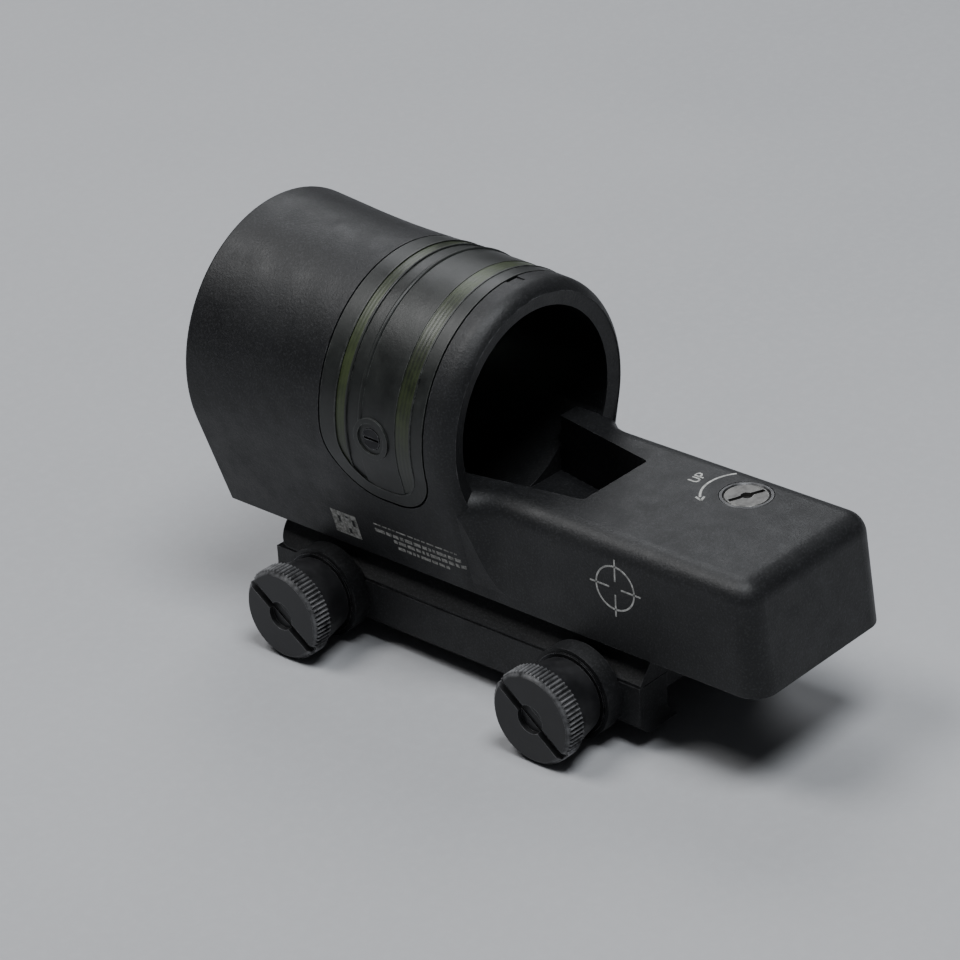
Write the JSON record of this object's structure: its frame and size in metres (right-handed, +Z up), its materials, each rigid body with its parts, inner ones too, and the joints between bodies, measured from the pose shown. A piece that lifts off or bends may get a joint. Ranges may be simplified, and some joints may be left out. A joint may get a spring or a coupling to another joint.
{
  "type": "reflex sight",
  "caption": "Open-tail reflex sight: flared tubular hood with a fibre light band, pocketed tail with two adjuster screws, on a rail clamp base with knurled thumb screws.",
  "frame": {"origin": "centre of the base's flat seat, the face that rests on top of the rail", "axes": "+Y along the line of sight, from the adjuster tail to the objective hood; +Z up, away from the rail; +X to the right as seen by the user, away from the thumb screws"},
  "size_m": [0.0597, 0.125, 0.0746],
  "materials": {
    "anodised_black": "matt hard-anodised black with a fine grain",
    "bare_aluminium": "machined",
    "cover_plastic": "dull dark grey, slightly rubbed",
    "window_green": "smoky olive green, translucent",
    "fibre_green": "translucent green fibre",
    "lens_glass": "polished, coated",
    "lamp_glass": "clear tube, pale green phosphor inside",
    "seal_rubber": "matt",
    "black_steel": "black oxide",
    "worn_steel": "black oxide, bright where worn",
    "bright_steel": "plain",
    "brass": "turned",
    "marking_white": "thin printed off-white line",
    "knob_black": "satin black, bright on the knurl's edges"
  },
  "bodies": {
    "sight": {"housing": "anodised_black", "fibre_cover": "cover_plastic", "fibre_windows": "window_green", "fibre_coil": "fibre_green", "fibre_lead": "fibre_green", "fibre_ferrule": "brass", "cover_screws": "black_steel", "lens_rear_element": "lens_glass", "lens_front_element": "lens_glass", "lens_gasket": "seal_rubber", "lens_retaining_ring": "anodised_black", "window_glass": "lens_glass", "window_seal": "seal_rubber", "elevation_bushing": "black_steel", "windage_bushing": "black_steel", "guide_pins": "bright_steel", "elevation_springs": "bright_steel", "tail_cover": "anodised_black", "tail_gasket": "seal_rubber", "tail_cover_screws": "black_steel", "mount_base": "anodised_black", "base_screws": "black_steel", "base_dowels": "bright_steel", "clamp_inserts": "bright_steel"},
    "elevation_adjuster": {"elevation_screw": "worn_steel", "elevation_seal": "seal_rubber", "elevation_clip": "black_steel"},
    "elevation_carriage": {"elevation_slide": "bare_aluminium"},
    "windage_adjuster": {"windage_screw": "worn_steel", "windage_seal": "seal_rubber", "windage_clip": "black_steel"},
    "windage_traveller": {"windage_nut": "brass"},
    "lamp_carriage": {"windage_slide": "bare_aluminium", "lamp_sleeve": "anodised_black", "tritium_lamp": "lamp_glass", "reticle_mask": "black_steel"},
    "clamp": {"clamp_bar": "anodised_black", "clamp_washers": "black_steel", "clamp_clips": "black_steel"},
    "front_thumb_screw": {"thumb_screw_front": "knob_black"},
    "rear_thumb_screw": {"thumb_screw_rear": "knob_black"}
  },
  "joints": [
    {"name": "elevation_lift", "type": "slide", "parent": "sight", "child": "elevation_carriage", "axis": [0, 0, 1], "range_m": [-0.0005, 0.0005], "deforming": ["elevation_springs"]},
    {"name": "elevation_turn", "type": "hinge", "parent": "sight", "child": "elevation_adjuster", "pos_m": [0.0092, -0.0454, 0.029], "axis": [0, 0, 1], "range_deg": [-361, 361]},
    {"name": "windage_shift", "type": "slide", "parent": "elevation_carriage", "child": "lamp_carriage", "axis": [1, 0, 0], "range_m": [-0.0005, 0.0005]},
    {"name": "windage_nut_shift", "type": "slide", "parent": "sight", "child": "windage_traveller", "axis": [1, 0, 0], "range_m": [-0.00051, 0.00051]},
    {"name": "windage_turn", "type": "hinge", "parent": "sight", "child": "windage_adjuster", "pos_m": [0.0172, -0.0359, 0.0215], "axis": [1, 0, 0], "range_deg": [-361, 361]},
    {"name": "clamp_slide", "type": "slide", "parent": "sight", "child": "clamp", "axis": [-1, 0, 0], "range_m": [0, 0.003]},
    {"name": "front_screw_turn", "type": "hinge", "parent": "clamp", "child": "front_thumb_screw", "pos_m": [-0.03, 0.03002, -0.0005], "axis": [-1, 0, 0], "range_deg": [0, 1351]},
    {"name": "rear_screw_turn", "type": "hinge", "parent": "clamp", "child": "rear_thumb_screw", "pos_m": [-0.03, -0.03002, -0.0005], "axis": [-1, 0, 0], "range_deg": [0, 1351]}
  ],
  "couplings": [
    {"joint": "elevation_turn", "follows": "elevation_lift", "rad_per_m": -12566},
    {"joint": "windage_turn", "follows": "windage_shift", "rad_per_m": -12566},
    {"joint": "windage_nut_shift", "follows": "windage_shift", "ratio": 1},
    {"joint": "front_screw_turn", "follows": "clamp_slide", "rad_per_m": 7854},
    {"joint": "rear_screw_turn", "follows": "clamp_slide", "rad_per_m": 7854}
  ]
}
